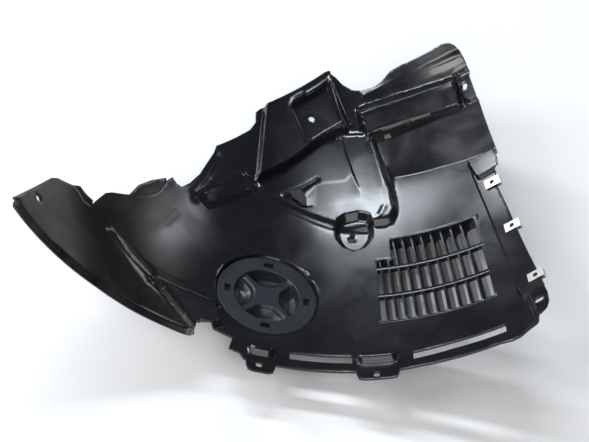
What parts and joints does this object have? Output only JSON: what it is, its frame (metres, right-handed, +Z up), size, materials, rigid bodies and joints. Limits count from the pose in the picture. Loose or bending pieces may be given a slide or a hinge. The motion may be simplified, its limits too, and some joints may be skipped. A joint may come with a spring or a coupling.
{
  "type": "wheel arch liner",
  "caption": "Black moulded front wheel arch liner with vent grille, round twist-off access cover and clip flange.",
  "frame": {"origin": "on the floor, under the middle of the box round the part", "axes": "+X along the arch toward the broad end, +Y toward the inboard edge, +Z up, out of the wheel side"},
  "size_m": [0.517, 0.4214, 0.1926],
  "materials": {
    "liner_plastic": "satin, dusty toward the tail",
    "cover_plastic": "satin",
    "clip_metal": "dull zinc",
    "clip_plastic": "matt"
  },
  "bodies": {
    "liner": {"arch_liner": "liner_plastic", "spring_clips": "clip_metal", "edge_clip": "clip_plastic"},
    "cover": {"access_cover": "cover_plastic"}
  },
  "joints": [
    {"name": "cover_twist", "type": "hinge", "parent": "liner", "child": "cover", "pos_m": [-0.00759, -0.09985, 0.02072], "axis": [0.1105, 0.1004, 0.9888], "range_deg": [0, 30]}
  ]
}
